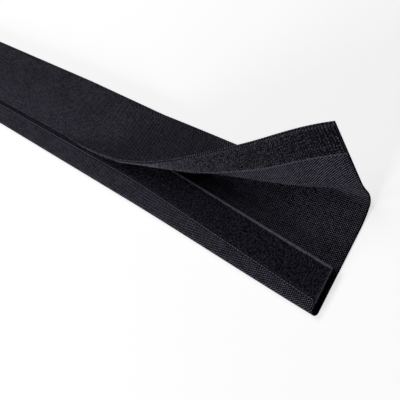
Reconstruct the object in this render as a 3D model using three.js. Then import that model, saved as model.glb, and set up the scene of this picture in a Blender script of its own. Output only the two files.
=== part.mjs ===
import * as THREE from 'three';

// A textile cable sleeve that lies flat and closes lengthwise with hook and loop tape.
// X runs along the sleeve towards its open end, Y from the near fold to the far fold, Z up.
// One strip of fabric is folded into a near flap, a bottom and a far flap. Each cross section
// follows the strip's cut width from the near flap's edge to the far flap's edge.

// Sizes of the cut strip and its tapes, in millimetres
const SLEEVE_LENGTH = 600;
const CLOSED_WIDTH = 62;
const FABRIC_THICKNESS = 0.75;
const BAND_WIDTH = 12.7;
const TAPE_WIDTH = 20;
const TAPE_STAGGER = 4.4;
const TAPE_MARGIN = 0.4;
const SELVEDGE_WIDTH = 1.6;
const SELVEDGE_THICKNESS = 0.4;
const PILE_BEVEL = 0.3;
const LOOP_TAPE_THICKNESS = 1;
const HOOK_TAPE_THICKNESS = 1;
const SEAM_INSET = 0.8;
const THREAD_WIDTH = 0.4;
const THREAD_THICKNESS = 0.2;

// Folds and clearances, in millimetres
const NEAR_FOLD_RADIUS = 2;
const FAR_FOLD_RADIUS = 3;
const SEWN_GAP = 0.2;
const THREAD_GAP = 0.15;
const CLOSURE_GAP = 0.25;

// How the closure is peeled apart towards the open end, in millimetres and degrees
const PEELED_LENGTH = 306.7;
const OPEN_TURN = 99.3;
const TURN_POWER = 0.3;
const CREASE_POWER = 1.34;
const CREASE_WIDTH = 7.3;
const CREASE_WIDENING = 12.1;
const CREASE_SETTLING = 8;
const UNFOLD_LENGTH = 80;
const UNFOLD_POWER = 3;
const BOW_ANGLE = 19.8;
const BOW_START = 2.1;
const BOW_LENGTH = 10.9;
const LIFT_ANGLE = 11.25;
const LIFT_LENGTH = 13.8;
const LIFT_REACH = 120;
const SPREAD_LENGTH = 200;
const NEAR_FOLD_SHIFT = 6.5;
const NEAR_SPREAD = 1.6;
const FAR_FOLD_SHIFT = 4;

// Shares of the peeled length: where the flap comes off the pressed tapes, and where it bows
const RELEASE_START = 0.35;
const RELEASE_RUN = 0.25;
const BOW_SHARE_START = 0.3;
const BOW_SHARE_RUN = 0.7;

// How finely the folded strip is divided
const CLOSED_STATIONS = 5;
const PEELED_STATIONS = 34;
const SAMPLES = 720;
const BEND_RUN = 6;

// Places across the cut width, worked out from the sizes above
const NEAR_ARC = Math.PI * NEAR_FOLD_RADIUS;
const FAR_ARC = Math.PI * FAR_FOLD_RADIUS;
const HALF = FABRIC_THICKNESS / 2;
const BOTTOM = CLOSED_WIDTH - NEAR_FOLD_RADIUS - FAR_FOLD_RADIUS - FABRIC_THICKNESS;
const NEAR_FLAP = BAND_WIDTH + TAPE_WIDTH - NEAR_FOLD_RADIUS - HALF;
const NEAR_FOLD = NEAR_FLAP + NEAR_ARC / 2;
const FAR_FOLD = NEAR_FOLD + NEAR_ARC / 2 + BOTTOM + FAR_ARC / 2;
const FAR_FLAP = CLOSED_WIDTH - FAR_FOLD_RADIUS - HALF - BAND_WIDTH - TAPE_STAGGER;
const CUT_WIDTH = FAR_FOLD + FAR_ARC / 2 + FAR_FLAP;
const HOOK_EDGE = CUT_WIDTH - TAPE_MARGIN;
const HOOK_INNER_EDGE = HOOK_EDGE - TAPE_WIDTH;

// The far flap climbs from its fold onto the two pressed tapes
const TAPE_STACK = 2 * SEWN_GAP + LOOP_TAPE_THICKNESS + CLOSURE_GAP + HOOK_TAPE_THICKNESS;
const CLIMB = 2 * NEAR_FOLD_RADIUS + FABRIC_THICKNESS + TAPE_STACK - 2 * FAR_FOLD_RADIUS;

const ramp = (value, start, length) => THREE.MathUtils.clamp((value - start) / length, 0, 1);
const ease = (value, start, length) => THREE.MathUtils.smoothstep(value, start, start + length);

// How far the closure is peeled at a station: 0 where it is pressed shut, 1 at the open end
function peel(x) {
  return ramp(x, -PEELED_LENGTH, PEELED_LENGTH);
}

// Where the folds lie at a station and how strongly the strip turns there
function foldsAt(x) {
  const peeled = peel(x);
  const nearFold = NEAR_FOLD - NEAR_FOLD_SHIFT * ramp(x, -SPREAD_LENGTH, SPREAD_LENGTH);
  const farFold = FAR_FOLD - FAR_FOLD_SHIFT * peeled;
  const crease = CUT_WIDTH - (CUT_WIDTH - farFold) * peeled ** CREASE_POWER;
  const unfolded = OPEN_TURN * ramp(x, -UNFOLD_LENGTH, UNFOLD_LENGTH) ** UNFOLD_POWER;
  const climbStart = FAR_FOLD + FAR_ARC / 2;
  const climbRun = HOOK_INNER_EDGE - climbStart - BEND_RUN;
  const pressed = 1 - ease(peeled, RELEASE_START, RELEASE_RUN);
  return {
    nearFold,
    farFold,
    crease,
    unfolded,
    climbStart,
    creaseWidth: CREASE_WIDTH + CREASE_WIDENING * peeled,
    creaseTurn: OPEN_TURN * peeled ** TURN_POWER - unfolded,
    lift: LIFT_ANGLE * ease(x, -LIFT_REACH, LIFT_REACH),
    bow: ease(peeled, BOW_SHARE_START, BOW_SHARE_RUN),
    climbAngle: THREE.MathUtils.radToDeg(Math.asin(CLIMB / climbRun)) * pressed,
    middle: NEAR_FOLD_RADIUS + HALF - NEAR_SPREAD * ease(x, -SPREAD_LENGTH, SPREAD_LENGTH),
  };
}

// Direction of the strip at cut position u, in radians from +Y, turning up and over
function heading(u, folds) {
  const farStart = folds.farFold - FAR_ARC / 2;
  const afterFold = folds.farFold + BOW_START;
  let angle = -180 + 180 * ramp(u, folds.nearFold - NEAR_ARC / 2, NEAR_ARC);
  angle += folds.lift * ease(u, farStart - LIFT_LENGTH, LIFT_LENGTH);
  angle += (180 - folds.unfolded - folds.lift) * ramp(u, farStart, FAR_ARC);
  const past = folds.crease - folds.creaseWidth / 2 - farStart;
  const creaseStart = farStart + (past + Math.hypot(past, CREASE_SETTLING)) / 2;
  angle -= folds.creaseTurn * ease(u, creaseStart, folds.creaseWidth);
  angle -= BOW_ANGLE * folds.bow * ease(u, afterFold, BOW_LENGTH);
  const climbed = ease(u, folds.climbStart, BEND_RUN) - ease(u, HOOK_INNER_EDGE - BEND_RUN, BEND_RUN);
  return THREE.MathUtils.degToRad(angle - folds.climbAngle * climbed);
}

// One cross section: place(u, offset) is a point offset from the strip's middle surface,
// positive towards the inside of the sleeve
function sectionAt(x) {
  const folds = foldsAt(x);
  const step = CUT_WIDTH / SAMPLES;
  const line = [new THREE.Vector2(0, 0)];
  for (let i = 0; i < SAMPLES; i += 1) {
    const angle = heading((i + 0.5) * step, folds);
    const last = line[i];
    line.push(new THREE.Vector2(last.x + Math.cos(angle) * step, last.y + Math.sin(angle) * step));
  }
  const middleLine = (u) => {
    const place = THREE.MathUtils.clamp(u / step, 0, SAMPLES);
    const i = Math.min(Math.floor(place), SAMPLES - 1);
    return line[i].clone().lerp(line[i + 1], place - i);
  };
  const bottomStart = middleLine(folds.nearFold + NEAR_ARC / 2);
  const shift = new THREE.Vector2(folds.middle, HALF).sub(bottomStart);
  const place = (u, offset) => {
    const angle = heading(u, folds);
    const point = middleLine(u).add(shift);
    return new THREE.Vector3(x, point.x - Math.sin(angle) * offset, point.y + Math.cos(angle) * offset);
  };
  return { x, folds, place };
}

function stationPlaces() {
  const places = [];
  const closed = SLEEVE_LENGTH - PEELED_LENGTH;
  for (let i = 0; i < CLOSED_STATIONS; i += 1) {
    places.push(-SLEEVE_LENGTH + closed * (i / CLOSED_STATIONS));
  }
  for (let i = 0; i <= PEELED_STATIONS; i += 1) {
    places.push(-PEELED_LENGTH * (1 - i / PEELED_STATIONS));
  }
  return places;
}

// A closed ribbon: its ring at each station runs along the upper offsets and back along the lower
function ribbon(sections, profileAt) {
  const rings = sections.map((section) => {
    const profile = profileAt(section.folds);
    const upper = profile.map(([u, , high]) => section.place(u, high));
    const lower = profile.map(([u, low]) => section.place(u, low)).reverse();
    return [...upper, ...lower];
  });
  const count = rings[0].length;
  const positions = rings.flat().flatMap((point) => [point.x, point.y, point.z]);
  const indices = [];
  const quad = (a, b, c, d) => indices.push(a, b, c, a, c, d);
  for (let i = 0; i + 1 < rings.length; i += 1) {
    for (let j = 0; j < count; j += 1) {
      const next = (j + 1) % count;
      quad(i * count + j, (i + 1) * count + j, (i + 1) * count + next, i * count + next);
    }
  }
  const last = (rings.length - 1) * count;
  for (let j = 0; j + 1 < count / 2; j += 1) {
    const back = count - 1 - j;
    quad(j, j + 1, back - 1, back);
    quad(last + back, last + back - 1, last + j + 1, last + j);
  }
  const geometry = new THREE.BufferGeometry();
  geometry.setAttribute('position', new THREE.Float32BufferAttribute(positions, 3));
  geometry.setIndex(indices);
  geometry.computeVertexNormals();
  return geometry;
}

// Cut positions from each stop to the next, each stretch in equal steps
function spread(stops) {
  const places = [stops[0][0]];
  for (let i = 1; i < stops.length; i += 1) {
    const [end, steps] = stops[i];
    const start = stops[i - 1][0];
    for (let j = 1; j <= steps; j += 1) {
      places.push(start + (end - start) * (j / steps));
    }
  }
  return places;
}

function fabricProfile(folds) {
  const nearStart = folds.nearFold - NEAR_ARC / 2;
  const farStart = folds.farFold - FAR_ARC / 2;
  const stops = [
    [0, 0],
    [nearStart, 2],
    [nearStart + NEAR_ARC, 6],
    [farStart - LIFT_LENGTH, 2],
    [farStart, 4],
    [farStart + FAR_ARC, 8],
    [CUT_WIDTH, 18],
  ];
  return spread(stops).map((u) => [u, -HALF, HALF]);
}

// A tape lies on one side of the fabric: a thin selvedge on both edges and a thicker field between
function tapeProfile(start, side, thickness, fieldSteps) {
  const base = HALF + SEWN_GAP;
  const edge = base + SELVEDGE_THICKNESS;
  const fieldStart = start + SELVEDGE_WIDTH + PILE_BEVEL;
  const fieldEnd = start + TAPE_WIDTH - SELVEDGE_WIDTH - PILE_BEVEL;
  const field = spread([[fieldStart, 0], [fieldEnd, fieldSteps]]);
  const outline = [
    [start, edge],
    [start + SELVEDGE_WIDTH, edge],
    ...field.map((u) => [u, base + thickness]),
    [start + TAPE_WIDTH - SELVEDGE_WIDTH, edge],
    [start + TAPE_WIDTH, edge],
  ];
  return outline.map(([u, top]) => (side > 0 ? [u, base, top] : [u, -top, -base]));
}

// A row of stitches, as one flat thread along a selvedge
function seamProfile(centre, side) {
  const base = HALF + SEWN_GAP + SELVEDGE_THICKNESS + THREAD_GAP;
  const top = base + THREAD_THICKNESS;
  const edges = [centre - THREAD_WIDTH / 2, centre + THREAD_WIDTH / 2];
  return edges.map((u) => (side > 0 ? [u, base, top] : [u, -top, -base]));
}

const FABRIC = { color: 0x1b1a1e, roughness: 0.85, metalness: 0 };
const LOOP_PILE = { color: 0x0d0d10, roughness: 0.95, metalness: 0 };
const HOOK_FIELD = { color: 0x202024, roughness: 0.55, metalness: 0 };
const THREAD = { color: 0x4a4a50, roughness: 0.7, metalness: 0 };

function makeMesh(name, geometry, finish) {
  const mesh = new THREE.Mesh(geometry, new THREE.MeshStandardMaterial(finish));
  mesh.name = name;
  return mesh;
}

function buildSleeve() {
  const sections = stationPlaces().map(sectionAt);
  const inside = 1;
  const outside = -1;
  const loopTape = tapeProfile(0, outside, LOOP_TAPE_THICKNESS, 1);
  const hookTape = tapeProfile(HOOK_INNER_EDGE, inside, HOOK_TAPE_THICKNESS, 8);
  const seams = [
    ['loop_tape_outer_seam', TAPE_WIDTH - SEAM_INSET, outside],
    ['loop_tape_inner_seam', SEAM_INSET, outside],
    ['hook_tape_outer_seam', HOOK_EDGE - SEAM_INSET, inside],
    ['hook_tape_inner_seam', HOOK_INNER_EDGE + SEAM_INSET, inside],
  ];
  const group = new THREE.Group();
  group.add(makeMesh('fabric_sleeve', ribbon(sections, fabricProfile), FABRIC));
  group.add(makeMesh('loop_tape', ribbon(sections, () => loopTape), LOOP_PILE));
  group.add(makeMesh('hook_tape', ribbon(sections, () => hookTape), HOOK_FIELD));
  for (const [name, centre, side] of seams) {
    const profile = seamProfile(centre, side);
    group.add(makeMesh(name, ribbon(sections, () => profile), THREAD));
  }
  return group;
}

// The origin is the middle of the sleeve's footprint, on the surface it lies on
function centreOnFootprint(group) {
  const box = new THREE.Box3().setFromObject(group);
  const centre = box.getCenter(new THREE.Vector3());
  group.position.set(-centre.x, -centre.y, -box.min.z);
  return group;
}

export default centreOnFootprint(buildSleeve());
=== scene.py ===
"""A black textile cable sleeve, lying flat, with its hook and loop closure peeled apart at one end."""

import math

import bpy
import numpy as np
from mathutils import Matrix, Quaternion, Vector


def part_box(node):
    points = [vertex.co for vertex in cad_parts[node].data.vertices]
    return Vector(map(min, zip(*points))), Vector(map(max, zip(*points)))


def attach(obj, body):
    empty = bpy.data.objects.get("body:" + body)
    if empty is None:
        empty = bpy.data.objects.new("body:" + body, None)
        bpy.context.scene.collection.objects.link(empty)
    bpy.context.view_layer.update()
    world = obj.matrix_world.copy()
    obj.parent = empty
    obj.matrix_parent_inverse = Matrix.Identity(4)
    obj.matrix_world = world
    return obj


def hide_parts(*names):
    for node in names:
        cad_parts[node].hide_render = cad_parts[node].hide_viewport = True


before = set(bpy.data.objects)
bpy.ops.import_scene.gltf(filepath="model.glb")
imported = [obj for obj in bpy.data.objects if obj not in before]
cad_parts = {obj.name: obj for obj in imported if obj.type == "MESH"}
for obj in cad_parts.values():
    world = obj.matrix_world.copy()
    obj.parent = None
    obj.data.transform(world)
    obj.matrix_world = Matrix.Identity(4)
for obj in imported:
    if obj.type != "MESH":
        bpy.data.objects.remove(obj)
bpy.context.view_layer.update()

# The folded strip, in millimetres and degrees, as in the part's source
MM = 0.001
SLEEVE_LENGTH = 600
CLOSED_WIDTH = 62
FABRIC_THICKNESS = 0.75
BAND_WIDTH = 12.7
TAPE_WIDTH = 20
TAPE_STAGGER = 4.4
TAPE_MARGIN = 0.4
SELVEDGE_WIDTH = 1.6
LOOP_TAPE_THICKNESS = 1
HOOK_TAPE_THICKNESS = 1
SEAM_INSET = 0.8
NEAR_FOLD_RADIUS = 2
FAR_FOLD_RADIUS = 3
SEWN_GAP = 0.2
CLOSURE_GAP = 0.25
PEELED_LENGTH = 306.7
OPEN_TURN = 99.3
TURN_POWER = 0.3
CREASE_POWER = 1.34
CREASE_WIDTH = 7.3
CREASE_WIDENING = 12.1
CREASE_SETTLING = 8
UNFOLD_LENGTH = 80
UNFOLD_POWER = 3
BOW_ANGLE = 19.8
BOW_START = 2.1
BOW_LENGTH = 10.9
LIFT_ANGLE = 11.25
LIFT_LENGTH = 13.8
LIFT_REACH = 120
SPREAD_LENGTH = 200
NEAR_FOLD_SHIFT = 6.5
NEAR_SPREAD = 1.6
FAR_FOLD_SHIFT = 4
RELEASE_START = 0.35
RELEASE_RUN = 0.25
BOW_SHARE_START = 0.3
BOW_SHARE_RUN = 0.7
BEND_RUN = 6

NEAR_ARC = math.pi * NEAR_FOLD_RADIUS
FAR_ARC = math.pi * FAR_FOLD_RADIUS
HALF = FABRIC_THICKNESS / 2
BOTTOM = CLOSED_WIDTH - NEAR_FOLD_RADIUS - FAR_FOLD_RADIUS - FABRIC_THICKNESS
NEAR_FOLD = BAND_WIDTH + TAPE_WIDTH - NEAR_FOLD_RADIUS - HALF + NEAR_ARC / 2
FAR_FOLD = NEAR_FOLD + NEAR_ARC / 2 + BOTTOM + FAR_ARC / 2
FAR_FLAP = CLOSED_WIDTH - FAR_FOLD_RADIUS - HALF - BAND_WIDTH - TAPE_STAGGER
CUT_WIDTH = FAR_FOLD + FAR_ARC / 2 + FAR_FLAP
HOOK_EDGE = CUT_WIDTH - TAPE_MARGIN
HOOK_INNER_EDGE = HOOK_EDGE - TAPE_WIDTH
TAPE_STACK = 2 * SEWN_GAP + LOOP_TAPE_THICKNESS + CLOSURE_GAP + HOOK_TAPE_THICKNESS
CLIMB = 2 * NEAR_FOLD_RADIUS + FABRIC_THICKNESS + TAPE_STACK - 2 * FAR_FOLD_RADIUS

# Offsets from the strip's middle surface to the tapes
TAPE_SEAT = 0.04
FIELD_RISE = 0.3
TAPE_BASE = HALF + TAPE_SEAT
FIELD_BASE = TAPE_BASE + FIELD_RISE

# How finely the strip is tabled
TABLE_STEP = 1.0
SAMPLES = 720

# Details of the cloth and tapes, with each filament's path as its lean and its height
SWELL = 1.5
SWELL_LENGTHS = (143, 87)
YARN_STEP_ALONG = 1.04
YARN_STEP_ACROSS = 0.61
BACKING_THICKNESS = 0.35
RIB_STEP_ALONG = 0.95
RIB_STEP_ACROSS = 0.4
BED_LEVEL = 0.15
BED_EDGE_LEVEL = 0.05
BED_EDGE_WIDTH = 0.3
HOOK_BED_RISE = 0.05
HOOK_BED_STEP = 0.5
TUFT_PITCH = 1.9
TUFT_RISE = 0.3
LOOPS_PER_TUFT = 3
LOOP_SCATTER = 0.35
LOOP_RADIUS = 0.09
LOOP_HEIGHT = 0.8
LOOP_PATH = ((-0.2, 0), (-0.5, 0.5), (-0.25, 0.95), (0.15, 0.95), (0.5, 0.6), (0.3, 0.15))
HOOK_PITCH = 1.7
HOOK_ROWS = 19
HOOK_HEIGHT = 1.0
HOOK_MARGIN = 0.5
HOOK_PATH = ((0, 0), (0.02, 0.45), (0.08, 0.8), (0.22, 1.0), (0.38, 0.93), (0.42, 0.62))
HOOK_RADII = (0.16, 0.16, 0.16, 0.16, 0.15, 0.1)
STITCH_PITCH = 2.6
STITCH_LENGTH = 1.7
STITCH_DIP = 0.12
STITCH_BOW = 0.16
THREAD_RADIUS = 0.22
PLY_PITCH = 0.5
CUT_END = 0.6

# The violet cast of the blacks
TINT_FADE = 2
GREEN_LOSS = 0.065
BLUE_FLOOR = 0.08
BLUE_GAIN = 0.28

# Tones from 0 for black to 1 for white, and where on its ramp each one stands
# The cloth's ramp runs from painted shade in the weave's gaps to a painted highlight on the yarn
# crowns.
CLOTH_TONES_WITH_PAINTED_SHADING = ((0.34, 0.001), (0.5, 0.008), (0.64, 0.068), (0.86, 0.33))
PILE_TONES = ((0.43, 0.0006), (0.58, 0.07))
# The hook tape's backing ramp runs from painted shade in its weave's gaps to a painted highlight on
# its crowns.
HOOK_BED_TONES_WITH_PAINTED_SHADING = ((0.3, 0.003), (0.9, 0.022))
# The filament ramps reach up to painted glints on the black hooks and loops.
HOOK_TONES_WITH_PAINTED_GLINTS = ((0.4, 0.003), (0.62, 0.52))
LOOP_TONES_WITH_PAINTED_GLINTS = ((0.4, 0.002), (0.62, 0.15))
# Each tape's selvedge before its middle is painted lighter than the one beyond, a painted sheen where
# it catches the light.
LOOP_SELVEDGE_LIT_AND_SHADED_TONES = (0.2, 0.03)
HOOK_SELVEDGE_LIT_AND_SHADED_TONES = (0.07, 0.03)
# The hot-cut ends are painted paler, a painted highlight on their glossy fused edge.
CUT_END_HIGHLIGHT_TONE = 0.16
# One thread in two tones: pale on three seams, and painted darker on the hook tape's outer seam among
# the hooks, a painted shade.
PALE_THREAD = 0.3
SHADED_THREAD = 0.04
UNDERSIDE_THREAD = 0.016
FLOOR_TONE = 0.9

# The photograph's camera, in the sleeve's millimetres from its open end and near fold
CAMERA_PLACE = (349.56, 36.97, 365.51)
CAMERA_AIM = (-128.99, 22.35, 0.0)
CAMERA_ROLL = -64.55
CAMERA_LENS = 90
SENSOR_WIDTH = 36
CLIP_START = 0.01

# The lamps and the floor, in metres and watts
LIGHT_AIM = (0.15, 0.02, 0)
SOFT_BOX_SIZE = 0.9
SOFT_BOXES = (
    ("near_soft_box", (0.15, -1.43, 0.39), 9.6),
    ("top_soft_box", (-0.38, 0.55, 1.3), 3.8),
    ("back_soft_box", (-0.6, 0.02, 1.3), 2.0),
)
WORLD_LIGHT = 0.005
FLOOR_SIZE = 8
FLOOR_DROP = 0.0003
FLOOR_GLOW = 0.7


def ramp(value, start, length):
    return np.clip((value - start) / length, 0, 1)


def ease(value, start, length):
    t = ramp(value, start, length)
    return t * t * (3 - 2 * t)


def folds_at(x):
    """Where the folds lie at a station and how strongly the strip turns there."""
    peeled = ramp(x, -PEELED_LENGTH, PEELED_LENGTH)
    far_fold = FAR_FOLD - FAR_FOLD_SHIFT * peeled
    unfolded = OPEN_TURN * ramp(x, -UNFOLD_LENGTH, UNFOLD_LENGTH) ** UNFOLD_POWER
    climb_start = FAR_FOLD + FAR_ARC / 2
    climb_run = HOOK_INNER_EDGE - climb_start - BEND_RUN
    pressed = 1 - ease(peeled, RELEASE_START, RELEASE_RUN)
    return {
        "near_fold": NEAR_FOLD - NEAR_FOLD_SHIFT * ramp(x, -SPREAD_LENGTH, SPREAD_LENGTH),
        "far_fold": far_fold,
        "crease": CUT_WIDTH - (CUT_WIDTH - far_fold) * peeled ** CREASE_POWER,
        "unfolded": unfolded,
        "climb_start": climb_start,
        "crease_width": CREASE_WIDTH + CREASE_WIDENING * peeled,
        "crease_turn": OPEN_TURN * peeled ** TURN_POWER - unfolded,
        "lift": LIFT_ANGLE * ease(x, -LIFT_REACH, LIFT_REACH),
        "bow": ease(peeled, BOW_SHARE_START, BOW_SHARE_RUN),
        "climb_angle": math.degrees(math.asin(CLIMB / climb_run)) * pressed,
        "middle": NEAR_FOLD_RADIUS + HALF - NEAR_SPREAD * ease(x, -SPREAD_LENGTH, SPREAD_LENGTH),
    }


def heading(u, folds):
    """Direction of the strip at cut position u, in radians from +Y, turning up and over."""
    far_start = folds["far_fold"] - FAR_ARC / 2
    angle = -180 + 180 * ramp(u, folds["near_fold"] - NEAR_ARC / 2, NEAR_ARC)
    angle = angle + folds["lift"] * ease(u, far_start - LIFT_LENGTH, LIFT_LENGTH)
    angle += (180 - folds["unfolded"] - folds["lift"]) * ramp(u, far_start, FAR_ARC)
    past = folds["crease"] - folds["crease_width"] / 2 - far_start
    crease_start = far_start + (past + math.hypot(past, CREASE_SETTLING)) / 2
    angle -= folds["crease_turn"] * ease(u, crease_start, folds["crease_width"])
    angle -= BOW_ANGLE * folds["bow"] * ease(u, folds["far_fold"] + BOW_START, BOW_LENGTH)
    climbed = ease(u, folds["climb_start"], BEND_RUN)
    climbed = climbed - ease(u, HOOK_INNER_EDGE - BEND_RUN, BEND_RUN)
    return np.radians(angle - folds["climb_angle"] * climbed)


def swell(x, u):
    """How far the closed flap stands proud of a plain fold, outwards."""
    start = FAR_FOLD + FAR_ARC / 2
    across = np.sin(np.pi * ramp(u, start, CUT_WIDTH - start))
    first, second = (math.sin(2 * math.pi * x / length) for length in SWELL_LENGTHS)
    waves = 0.7 + 0.18 * first + 0.12 * second
    return SWELL * across * waves * (1 - ramp(x, -PEELED_LENGTH, PEELED_LENGTH))


class Surface:
    """The strip's middle surface, tabled over stations along X and cut positions u."""

    def __init__(self):
        self.x = np.arange(-SLEEVE_LENGTH, TABLE_STEP / 2, TABLE_STEP)
        self.u = np.linspace(0, CUT_WIDTH, SAMPLES + 1)
        step = CUT_WIDTH / SAMPLES
        middles = (self.u[1:] + self.u[:-1]) / 2
        rows = []
        for x in self.x:
            folds = folds_at(x)
            turn = heading(middles, folds)
            y = np.concatenate([[0], np.cumsum(np.cos(turn)) * step])
            z = np.concatenate([[0], np.cumsum(np.sin(turn)) * step])
            bottom_start = folds["near_fold"] + NEAR_ARC / 2
            y += folds["middle"] - np.interp(bottom_start, self.u, y)
            z += HALF - np.interp(bottom_start, self.u, z)
            at = heading(self.u, folds)
            rise = -swell(x, self.u)
            rows.append([y - np.sin(at) * rise, z + np.cos(at) * rise, -np.sin(at), np.cos(at)])
        self.table = np.array(rows).transpose(0, 2, 1)

    def place(self, x, u, offset):
        """Points at an offset from the middle surface, positive towards the inside."""
        x, u, offset = np.broadcast_arrays(x, u, offset)
        i = np.clip((x - self.x[0]) / TABLE_STEP, 0, len(self.x) - 1.001)
        j = np.clip(u / CUT_WIDTH * SAMPLES, 0, SAMPLES - 0.001)
        i0, j0 = i.astype(int), j.astype(int)
        a, b = (i - i0)[..., None], (j - j0)[..., None]
        t = self.table
        low = t[i0, j0] * (1 - b) + t[i0, j0 + 1] * b
        high = t[i0 + 1, j0] * (1 - b) + t[i0 + 1, j0 + 1] * b
        both = low * (1 - a) + high * a
        along = np.clip(u, 0, CUT_WIDTH) - u
        y = both[..., 0] + both[..., 2] * offset - both[..., 3] * along
        z = both[..., 1] + both[..., 3] * offset + both[..., 2] * along
        return np.stack([x, y, z], -1)


def to_frame(points):
    """The sleeve's millimetres to the row frame's metres."""
    return points * MM + ORIGIN


def add_mesh(name, points, faces, material, cut=None):
    mesh = bpy.data.meshes.new(name)
    mesh.from_pydata(to_frame(points).tolist(), [], faces)
    mesh.validate()
    if cut is not None:
        attribute = mesh.attributes.new("cut", "FLOAT_VECTOR", "POINT")
        attribute.data.foreach_set("vector", cut.astype(np.float32).ravel())
    mesh.shade_smooth()
    piece = bpy.data.objects.new(name, mesh)
    bpy.context.scene.collection.objects.link(piece)
    mesh.materials.append(material)
    return piece


def ring_faces(rings, count):
    """Quads round a closed tube of rings, and the two ends closed strip by strip."""
    i, j = np.meshgrid(np.arange(rings - 1), np.arange(count), indexing="ij")
    after = (j + 1) % count
    this_ring, next_ring = i * count, (i + 1) * count
    quads = np.stack([this_ring + j, next_ring + j, next_ring + after, this_ring + after], -1)
    faces = quads.reshape(-1, 4).tolist()
    last = (rings - 1) * count
    for j in range(count // 2 - 1):
        back = count - 1 - j
        faces.append([j, j + 1, back - 1, back])
        faces.append([last + back, last + back - 1, last + j + 1, last + j])
    return faces


def ribbon(name, stations, columns, low, high, material):
    """A closed ribbon on the folded strip; columns holds cut positions for each station."""
    columns = np.broadcast_to(columns, (len(stations), np.shape(columns)[-1]))
    x = stations[:, None]
    upper = surface.place(x, columns, high)
    lower = surface.place(x, columns, low)
    points = np.concatenate([upper, lower[:, ::-1]], 1)
    faces = ring_faces(len(stations), points.shape[1])
    cut_u = np.concatenate([columns, columns[:, ::-1]], 1)
    side = np.concatenate([np.ones_like(columns), np.zeros_like(columns)], 1)
    cut = np.stack([np.broadcast_to(x, cut_u.shape), cut_u, side], -1)
    return add_mesh(name, points.reshape(-1, 3), faces, material, cut.reshape(-1, 3))


def spread(*stops):
    """Positions from each stop to the next, each stretch in its own number of equal steps."""
    places = [np.array([stops[0][0]], float)]
    for (start, _), (end, steps) in zip(stops, stops[1:]):
        places.append(np.linspace(start, end, steps + 1)[1:])
    return np.concatenate(places)


def lumps(x, u, pitch, seed):
    """A smooth random field over the cut strip, 0 to 1, with lumps about one pitch apart."""
    rows, columns = int(SLEEVE_LENGTH / pitch) + 3, int(CUT_WIDTH / pitch) + 3
    table = np.random.default_rng(seed).uniform(0, 1, (rows, columns))
    i, j = np.broadcast_arrays((x + SLEEVE_LENGTH) / pitch, u / pitch)
    i0, j0 = np.floor(i).astype(int), np.floor(j).astype(int)
    a, b = ease(i, i0, 1), ease(j, j0, 1)
    low = table[i0, j0] * (1 - b) + table[i0, j0 + 1] * b
    high = table[i0 + 1, j0] * (1 - b) + table[i0 + 1, j0 + 1] * b
    return low * (1 - a) + high * a


surface = Surface()
sleeve_low = surface.table[:, :, 0].min() - HALF
fabric_low, fabric_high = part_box("fabric_sleeve")
ORIGIN = np.array([fabric_high.x, fabric_low.y - sleeve_low * MM, 0])


def grey(value):
    """A near-neutral black or grey with the cloth's violet cast, which fades in lighter tones."""
    cast = 1 / (1 + TINT_FADE * value)
    return (value, value * (1 - GREEN_LOSS * cast), value * (1 + BLUE_FLOOR + BLUE_GAIN * cast))


class Graph:
    """Short names for the nodes of one material."""

    def __init__(self, name):
        self.material = bpy.data.materials.new(name)
        self.material.use_nodes = True
        self.tree = self.material.node_tree
        self.shader = self.tree.nodes["Principled BSDF"]

    def add(self, kind, **values):
        made = self.tree.nodes.new(kind)
        for key, value in values.items():
            setattr(made, key, value)
        return made

    def feed(self, socket, value):
        if isinstance(value, bpy.types.NodeSocket):
            self.tree.links.new(value, socket)
        else:
            socket.default_value = value

    def math(self, operation, a, b=0.0, c=0.0):
        made = self.add("ShaderNodeMath", operation=operation)
        for socket, value in zip(made.inputs, (a, b, c)):
            self.feed(socket, value)
        return made.outputs[0]

    def cut(self):
        """Millimetres along the sleeve, millimetres across its cut, and 1 on the inside face."""
        source = self.add("ShaderNodeAttribute", attribute_name="cut")
        parts = self.add("ShaderNodeSeparateXYZ")
        self.feed(parts.inputs[0], source.outputs["Vector"])
        return parts.outputs

    def noise(self, vector, scale, detail=2.0, roughness=0.5):
        made = self.add("ShaderNodeTexNoise")
        self.feed(made.inputs["Vector"], vector)
        self.feed(made.inputs["Scale"], scale)
        self.feed(made.inputs["Detail"], detail)
        self.feed(made.inputs["Roughness"], roughness)
        return made.outputs["Fac"]

    def vector(self, x, y, z=0.0):
        made = self.add("ShaderNodeCombineXYZ")
        for socket, value in zip(made.inputs, (x, y, z)):
            self.feed(socket, value)
        return made.outputs[0]

    def ramp(self, value, *stops):
        """Greys over a value, from stops that each give a position and a tone."""
        made = self.add("ShaderNodeValToRGB")
        self.feed(made.inputs[0], value)
        elements = made.color_ramp.elements
        while len(elements) < len(stops):
            elements.new(0.5)
        for element, (position, tone) in zip(elements, stops):
            element.position = position
            element.color = (*grey(tone), 1)
        return made.outputs[0]

    def bump(self, height, distance, strength=1.0, normal=None):
        made = self.add("ShaderNodeBump")
        self.feed(made.inputs["Height"], height)
        self.feed(made.inputs["Distance"], distance)
        self.feed(made.inputs["Strength"], strength)
        if normal is not None:
            self.feed(made.inputs["Normal"], normal)
        return made.outputs[0]

    def surface(self, colour, roughness, normal=None, **sockets):
        self.feed(self.shader.inputs["Base Color"], colour)
        self.feed(self.shader.inputs["Roughness"], roughness)
        if normal is not None:
            self.feed(self.shader.inputs["Normal"], normal)
        for key, value in sockets.items():
            self.feed(self.shader.inputs[key.replace("_", " ")], value)
        return self.material


def weave_height(g, x, u, step_x, step_u):
    """Yarns that pass over and under each other: 0 in the gaps, 1 on the crowns."""
    along = g.math("SINE", g.math("MULTIPLY", x, math.pi / step_x))
    across = g.math("SINE", g.math("MULTIPLY", u, math.pi / step_u))
    return g.math("MULTIPLY_ADD", g.math("MULTIPLY", along, across), 0.5, 0.5)


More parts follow.
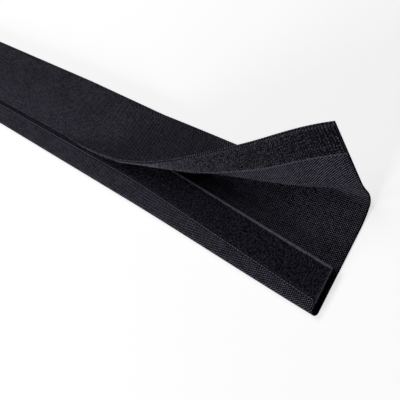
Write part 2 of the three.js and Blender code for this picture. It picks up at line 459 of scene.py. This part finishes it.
def crossing_grain(g, x, u, step_x, step_u):
    """A different number from 0 to 1 for each crossing of two yarns."""
    cell_x = g.math("FLOOR", g.math("MULTIPLY", x, 1 / step_x))
    cell_u = g.math("FLOOR", g.math("MULTIPLY", u, 1 / step_u))
    made = g.add("ShaderNodeTexWhiteNoise", noise_dimensions="2D")
    g.feed(made.inputs["Vector"], g.vector(cell_x, cell_u))
    return made.outputs["Value"]


def cloth_material():
    g = Graph("woven_cloth")
    x, u, _ = g.cut()
    height = weave_height(g, x, u, YARN_STEP_ALONG, YARN_STEP_ACROSS)
    grain = crossing_grain(g, x, u, YARN_STEP_ALONG, YARN_STEP_ACROSS)
    slub = g.noise(g.vector(g.math("MULTIPLY", x, 0.05), g.math("MULTIPLY", u, 1.3)), 1.0, 3.0)
    weft = g.noise(g.vector(g.math("MULTIPLY", x, 0.8), g.math("MULTIPLY", u, 0.07)), 1.0, 3.0)
    patch = g.noise(g.vector(x, u), 0.035, 3.0)
    tone = height
    for part, share in ((grain, 0.16), (slub, 0.3), (weft, 0.2), (patch, 0.12)):
        tone = g.math("MULTIPLY_ADD", g.math("SUBTRACT", part, 0.5), share, tone)
    # The yarn crowns are painted lighter and the gaps darker, a painted highlight and painted shade;
    # grain, slub, weft and patch noise vary the tone at random.
    colour = g.ramp(tone, *CLOTH_TONES_WITH_PAINTED_SHADING)
    drape = g.noise(g.vector(g.math("MULTIPLY", x, 0.35), u), 0.06, 2.0)
    normal = g.bump(height, 0.0005, 1.0, g.bump(drape, 0.0025, 1.0))
    return g.surface(colour, 0.62, normal, Specular_IOR_Level=0.0)


def at_cut_end(g, x, colour):
    """The tape's hot-cut end, a narrow paler line: a painted highlight on its glossy fused edge."""
    made = g.add("ShaderNodeMix", data_type="RGBA")
    g.feed(made.inputs[0], g.math("GREATER_THAN", x, -CUT_END))
    g.feed(made.inputs[6], colour)
    g.feed(made.inputs[7], (*grey(CUT_END_HIGHLIGHT_TONE), 1))
    return made.outputs[2]


def selvedge_material(name, tones, middle):
    """Ribbed selvedges, in one tone before the tape's middle and in another beyond it: the same
    selvedge painted lighter on one edge than on the other, a painted sheen. The rib crests are painted
    lighter and the furrows darker, a painted highlight and painted shade.
    """
    before, beyond = tones
    g = Graph(name)
    x, u, _ = g.cut()
    wave = g.math("SINE", g.math("MULTIPLY", x, 2 * math.pi / RIB_STEP_ALONG))
    rib = g.math("MULTIPLY_ADD", wave, 0.5, 0.5)
    grain = crossing_grain(g, x, u, RIB_STEP_ALONG, RIB_STEP_ACROSS)
    tone = g.math("MULTIPLY_ADD", grain, 0.35, g.math("MULTIPLY", rib, 0.65))
    # The first selvedge is painted lighter than the second, a painted sheen.
    made = g.add("ShaderNodeMix", data_type="RGBA")
    g.feed(made.inputs[0], g.math("GREATER_THAN", u, middle))
    g.feed(made.inputs[6], g.ramp(tone, (0.1, before * 0.5), (0.9, before * 1.4)))
    g.feed(made.inputs[7], g.ramp(tone, (0.1, beyond * 0.4), (0.9, beyond * 1.5)))
    colour = at_cut_end(g, x, made.outputs[2])
    return g.surface(colour, 0.7, g.bump(rib, 0.0001, 0.6), Specular_IOR_Level=0.0)


def pile_material():
    g = Graph("loop_pile")
    x, u, _ = g.cut()
    curls = g.noise(g.vector(x, u), 0.8, 4.0, 0.7)
    colour = at_cut_end(g, x, g.ramp(curls, *PILE_TONES))
    return g.surface(colour, 0.9, g.bump(curls, 0.0006, 0.8), Specular_IOR_Level=0.0)


def fibre_material(name, tones, roughness, gloss):
    """Filaments, each stretch a little lighter or darker than the next as the fibres' random tone; the
    lightest stretches are painted glints.
    """
    g = Graph(name)
    where = g.add("ShaderNodeNewGeometry")
    shade = g.noise(where.outputs["Position"], 1400, 1.0)
    return g.surface(g.ramp(shade, *tones), roughness, Specular_IOR_Level=gloss)


def hook_base_material():
    g = Graph("hook_backing")
    x, u, _ = g.cut()
    height = weave_height(g, x, u, HOOK_PITCH / 2, HOOK_BED_STEP)
    # The weave's crowns are painted lighter and its gaps darker, a painted highlight and painted
    # shade.
    colour = g.ramp(height, *HOOK_BED_TONES_WITH_PAINTED_SHADING)
    return g.surface(colour, 0.7, g.bump(height, 0.0002, 0.7), Specular_IOR_Level=0.0)


def thread_material(name, tone):
    """Two plies twisted together along each stitch."""
    g = Graph(name)
    x, u, _ = g.cut()
    slant = g.math("MULTIPLY_ADD", u, 2.0, x)
    twist = g.math("SINE", g.math("MULTIPLY", slant, 2 * math.pi / PLY_PITCH))
    ply = g.math("MULTIPLY_ADD", twist, 0.5, 0.5)
    # The ply crests are painted lighter and the grooves darker, a painted highlight and painted shade.
    colour = g.ramp(ply, (0.1, tone * 0.6), (0.9, tone * 1.3))
    return g.surface(colour, 0.5, g.bump(ply, 0.00005, 0.6), Specular_IOR_Level=0.1)


def fine_stations(closed_step, peeled_step):
    """Stations along the sleeve, closer together where it is peeled open."""
    closed = np.arange(-SLEEVE_LENGTH, -PEELED_LENGTH, closed_step)
    peeled = np.linspace(-PEELED_LENGTH, 0, int(PEELED_LENGTH / peeled_step) + 1)
    return np.concatenate([closed, peeled])


def build_cloth(material):
    stations = fine_stations(5, 2)
    rows = []
    for x in stations:
        folds = folds_at(x)
        near = folds["near_fold"] - NEAR_ARC / 2
        far = folds["far_fold"] - FAR_ARC / 2
        near_stops = (near, 12), (near + NEAR_ARC, 12)
        far_stops = (far - LIFT_LENGTH, 22), (far, 8), (far + FAR_ARC, 14)
        rows.append(spread((0, 0), *near_stops, *far_stops, (CUT_WIDTH, 34)))
    cloth = ribbon("woven_sleeve", stations, np.array(rows), -HALF, HALF, material)
    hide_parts("fabric_sleeve")
    return cloth


def tape_backing(name, start, side, material):
    """The woven tape under the hooks or the pile, with a rounded selvedge on both edges."""
    bend = SELVEDGE_WIDTH / 4
    across = spread((0, 0), (bend, 2), (SELVEDGE_WIDTH, 3), (TAPE_WIDTH - SELVEDGE_WIDTH, 12),
                    (TAPE_WIDTH - bend, 3), (TAPE_WIDTH, 2))
    inset = np.minimum(across, TAPE_WIDTH - across)
    round_over = np.sqrt(1 - (1 - ramp(inset, 0, bend)) ** 2)
    low = np.full(len(across), TAPE_BASE)
    high = TAPE_BASE + BACKING_THICKNESS * (0.3 + 0.7 * round_over)
    offsets = (low, high) if side > 0 else (-high, -low)
    return ribbon(name, fine_stations(5, 2), start + across, *offsets, material)


def tape_bed(name, start, side, rise, material):
    """The ground of the field between a tape's selvedges, in low tufts."""
    inner, outer = SELVEDGE_WIDTH, TAPE_WIDTH - SELVEDGE_WIDTH
    field_start, field_end = inner + BED_EDGE_WIDTH, outer - BED_EDGE_WIDTH
    stations = fine_stations(4, 0.9)
    across = start + spread((inner, 0), (field_start, 1), (field_end, 20), (outer, 1))
    tufts = lumps(stations[:, None], across, TUFT_PITCH, 5)
    tufts[:, [0, -1]] = 0
    low = np.full_like(tufts, FIELD_BASE)
    high = FIELD_BASE + BED_LEVEL + rise * tufts
    high[:, [0, -1]] = FIELD_BASE + BED_EDGE_LEVEL
    offsets = (low, high) if side > 0 else (-high, -low)
    return ribbon(name, stations, across, *offsets, material)


def tube_template(path, radii, sides):
    """Vertices and faces of a closed tube along a flat path of (lean, height) points."""
    path = np.array(path, float)
    tangent = np.gradient(path, axis=0)
    tangent /= np.linalg.norm(tangent, axis=1)[:, None]
    turn = 2 * np.pi * np.arange(sides) / sides
    points = []
    for (lean, height), (dl, dh), radius in zip(path, tangent, radii):
        out, up = np.cos(turn) * radius, np.sin(turn) * radius
        points.append(np.stack([lean - dh * out, up, height + dl * out], -1))
    faces = []
    for i in range(len(path) - 1):
        for j in range(sides):
            k = (j + 1) % sides
            faces.append([i * sides + j, i * sides + k, (i + 1) * sides + k, (i + 1) * sides + j])
    faces.append(list(range(sides))[::-1])
    faces.append([(len(path) - 1) * sides + j for j in range(sides)])
    return np.concatenate(points), faces


def scatter(name, template, x, u, base, side, yaw, size, material):
    """Copies a template onto the strip at each (x, u), standing on the chosen face."""
    local, faces = template
    c, s = np.cos(yaw)[:, None], np.sin(yaw)[:, None]
    dx = (local[None, :, 0] * c - local[None, :, 1] * s) * size[:, None]
    du = (local[None, :, 0] * s + local[None, :, 1] * c) * size[:, None]
    height = base + local[None, :, 2] * size[:, None]
    at_x, at_u = x[:, None] + dx, u[:, None] + du
    points = surface.place(np.clip(at_x, -SLEEVE_LENGTH, 0), at_u, side * height)
    points[..., 0] = at_x
    count = len(local)
    order = [face[::-1] for face in faces] if side < 0 else faces
    every = [[i * count + k for k in face] for i in range(len(x)) for face in order]
    along = np.broadcast_to(local[None, :, 0], at_x.shape)
    around = np.broadcast_to(local[None, :, 1], at_x.shape)
    cut = np.stack([along, around, np.zeros_like(along)], -1)
    return add_mesh(name, points.reshape(-1, 3), every, material, cut.reshape(-1, 3))


def build_hooks(material):
    """Rows of bent filaments on the hook tape, wherever the flap has come off the other tape."""
    rng = np.random.default_rng(7)
    field_start = HOOK_INNER_EDGE + SELVEDGE_WIDTH + BED_EDGE_WIDTH
    field = np.linspace(field_start, HOOK_EDGE - HOOK_MARGIN, HOOK_ROWS)
    along = np.arange(-HOOK_MARGIN, -PEELED_LENGTH, -HOOK_PITCH)
    x, u = (grid.ravel() for grid in np.meshgrid(along, field, indexing="ij"))
    flip = np.tile(np.arange(HOOK_ROWS) % 2, len(along)) * np.pi
    x = x + rng.normal(0, 0.08, len(x))
    u = u + rng.normal(0, 0.1, len(x))
    yaw = flip + rng.normal(0, 0.3, len(x))
    size = rng.normal(1, 0.07, len(x)).clip(0.8, 1.2)
    stations = [folds_at(at) for at in x]
    open_from = np.array([folds["crease"] - folds["crease_width"] / 2 for folds in stations])
    shown = u > open_from
    x, u, yaw, size = (values[shown] for values in (x, u, yaw, size))
    template = tube_template(np.array(HOOK_PATH) * (1, HOOK_HEIGHT), HOOK_RADII, 4)
    return scatter("hooks", template, x, u, FIELD_BASE, 1, yaw, size, material)


def build_loops(material):
    """Tufts of small loops on the loop tape, matted into curls."""
    rng = np.random.default_rng(11)
    along = np.arange(-PEELED_LENGTH, -TUFT_PITCH / 2, TUFT_PITCH * 0.87)
    across = np.arange(SELVEDGE_WIDTH + 0.6, TAPE_WIDTH - SELVEDGE_WIDTH - 0.3, TUFT_PITCH)
    x, u = (grid.ravel() for grid in np.meshgrid(along, across, indexing="ij"))
    scattered = (place + rng.normal(0, LOOP_SCATTER, len(place)) for place in (x, u))
    x, u = (np.repeat(place, LOOPS_PER_TUFT) for place in scattered)
    x = (x + rng.normal(0, LOOP_SCATTER, len(x))).clip(-PEELED_LENGTH, -0.6)
    inner, outer = SELVEDGE_WIDTH + 0.2, TAPE_WIDTH - SELVEDGE_WIDTH - 0.2
    u = (u + rng.normal(0, LOOP_SCATTER, len(u))).clip(inner, outer)
    yaw = rng.uniform(0, 2 * np.pi, len(x))
    size = rng.normal(1, 0.2, len(x)).clip(0.5, 1.4) * (0.7 + 0.6 * lumps(x, u, TUFT_PITCH, 5))
    radii = [LOOP_RADIUS] * len(LOOP_PATH)
    template = tube_template(np.array(LOOP_PATH) * (1, LOOP_HEIGHT), radii, 3)
    return scatter("loop_pile", template, x, u, FIELD_BASE, -1, yaw, size, material)


def stitch_row(name, centre, side, base, material):
    """A row of lockstitch, each stitch a short bowed thread that dips in at both ends."""
    x = np.arange(-SLEEVE_LENGTH + STITCH_PITCH / 2, -STITCH_PITCH / 2, STITCH_PITCH)
    rng = np.random.default_rng(3)
    half = STITCH_LENGTH / 2
    shoulder = half * 0.75
    ends = (-half, -STITCH_DIP), (half, -STITCH_DIP)
    path = [ends[0], (-shoulder, 0.1), (0, STITCH_BOW), (shoulder, 0.1), ends[1]]
    template = tube_template(path, np.array([0.7, 1, 1, 1, 0.7]) * THREAD_RADIUS, 6)
    yaw = rng.normal(0, 0.05, len(x))
    u = centre + rng.normal(0, 0.05, len(x))
    return scatter(name, template, x, u, base, side, yaw, np.ones(len(x)), material)


def build_seam(name, centre, side, material):
    """The seam's stitches on the tape's selvedge, and their other side on the cloth's far face."""
    tape_face = TAPE_BASE + BACKING_THICKNESS
    cloth_face = HALF - THREAD_RADIUS * 0.6
    front = stitch_row(name + "_stitches", centre, side, tape_face, material)
    back = stitch_row(name + "_underside", centre, -side, cloth_face, thread_underside)
    for piece in (front, back):
        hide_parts(name)
    return [front, back]


def build_sleeve():
    cloth = build_cloth(cloth_material())
    half_tape = TAPE_WIDTH / 2
    loop_edges = selvedge_material("loop_tape_selvedge", LOOP_SELVEDGE_LIT_AND_SHADED_TONES, half_tape)
    hook_edges = selvedge_material("hook_tape_selvedge", HOOK_SELVEDGE_LIT_AND_SHADED_TONES, CUT_WIDTH - half_tape)
    loop_tape = tape_backing("loop_tape_backing", 0, -1, loop_edges)
    hook_tape = tape_backing("hook_tape_backing", HOOK_INNER_EDGE, 1, hook_edges)
    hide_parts("loop_tape")
    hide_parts("hook_tape")
    pile_bed = tape_bed("pile_bed", 0, -1, TUFT_RISE, pile_material())
    hook_bed = tape_bed("hook_bed", HOOK_INNER_EDGE, 1, HOOK_BED_RISE, hook_base_material())
    hooks = build_hooks(fibre_material("hook_nylon", HOOK_TONES_WITH_PAINTED_GLINTS, 0.4, 0.2))
    loops = build_loops(fibre_material("loop_fibre", LOOP_TONES_WITH_PAINTED_GLINTS, 0.75, 0.0))
    pale = thread_material("pale_thread", PALE_THREAD)
    dark = thread_material("shaded_thread", SHADED_THREAD)
    seams = [
        *build_seam("loop_tape_outer_seam", TAPE_WIDTH - SEAM_INSET, -1, pale),
        *build_seam("loop_tape_inner_seam", SEAM_INSET, -1, pale),
        # This seam's thread is painted darker, a painted shade among the hooks.
        *build_seam("hook_tape_outer_seam", HOOK_EDGE - SEAM_INSET, 1, dark),
        *build_seam("hook_tape_inner_seam", HOOK_INNER_EDGE + SEAM_INSET, 1, pale),
    ]
    for piece in (cloth, loop_tape, hook_tape, pile_bed, hook_bed, hooks, loops, *seams):
        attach(piece, "root")


def build_floor():
    bpy.ops.mesh.primitive_plane_add(size=FLOOR_SIZE, location=(0, 0, -FLOOR_DROP))
    floor = bpy.context.object
    floor.name = "floor"
    g = Graph("floor")
    tone = (FLOOR_TONE, FLOOR_TONE, FLOOR_TONE, 1)
    g.surface(tone, 0.9, Specular_IOR_Level=0.0, Emission_Color=(1, 1, 1, 1))
    light_path = g.add("ShaderNodeLightPath")
    glow = g.math("MULTIPLY", light_path.outputs["Is Camera Ray"], FLOOR_GLOW)
    g.feed(g.shader.inputs["Emission Strength"], glow)
    floor.data.materials.append(g.material)


def build_world():
    """White where the camera or a glossy surface looks past the floor, else a faint light."""
    world = bpy.data.worlds.new("world")
    bpy.context.scene.world = world
    world.use_nodes = True
    tree = world.node_tree
    background = tree.nodes["Background"]
    background.inputs["Color"].default_value = (1, 1, 1, 1)
    light_path = tree.nodes.new("ShaderNodeLightPath")
    seen = light_path.outputs["Is Camera Ray"]
    for kind in ("Is Glossy Ray", "Is Transmission Ray"):
        either = tree.nodes.new("ShaderNodeMath")
        either.operation = "MAXIMUM"
        tree.links.new(seen, either.inputs[0])
        tree.links.new(light_path.outputs[kind], either.inputs[1])
        seen = either.outputs[0]
    mixed = tree.nodes.new("ShaderNodeMix")
    mixed.inputs[2].default_value = WORLD_LIGHT
    mixed.inputs[3].default_value = 1.0
    tree.links.new(seen, mixed.inputs[0])
    tree.links.new(mixed.outputs[0], background.inputs["Strength"])


def build_lights():
    """A low soft box on the near side, and two above."""
    for name, place, power in SOFT_BOXES:
        data = bpy.data.lights.new(name, "AREA")
        data.shape = "DISK"
        data.size = SOFT_BOX_SIZE
        data.energy = power
        lamp = bpy.data.objects.new(name, data)
        lamp.location = place
        lamp.rotation_mode = "QUATERNION"
        lamp.rotation_quaternion = (Vector(LIGHT_AIM) - Vector(place)).to_track_quat("-Z", "Y")
        bpy.context.scene.collection.objects.link(lamp)


def build_camera():
    data = bpy.data.cameras.new("camera")
    data.lens = CAMERA_LENS
    data.sensor_width = SENSOR_WIDTH
    data.clip_start = CLIP_START
    camera = bpy.data.objects.new("camera", data)
    place = Vector(to_frame(np.array(CAMERA_PLACE)))
    aim = Vector(to_frame(np.array(CAMERA_AIM)))
    camera.location = place
    camera.rotation_mode = "QUATERNION"
    roll = Quaternion((0, 0, 1), math.radians(CAMERA_ROLL))
    camera.rotation_quaternion = (aim - place).to_track_quat("-Z", "Y") @ roll
    bpy.context.scene.collection.objects.link(camera)
    bpy.context.scene.camera = camera


thread_underside = thread_material("thread_underside", UNDERSIDE_THREAD)

build_camera()
build_sleeve()
build_floor()
build_world()
build_lights()
bpy.context.scene.view_settings.view_transform = "Standard"
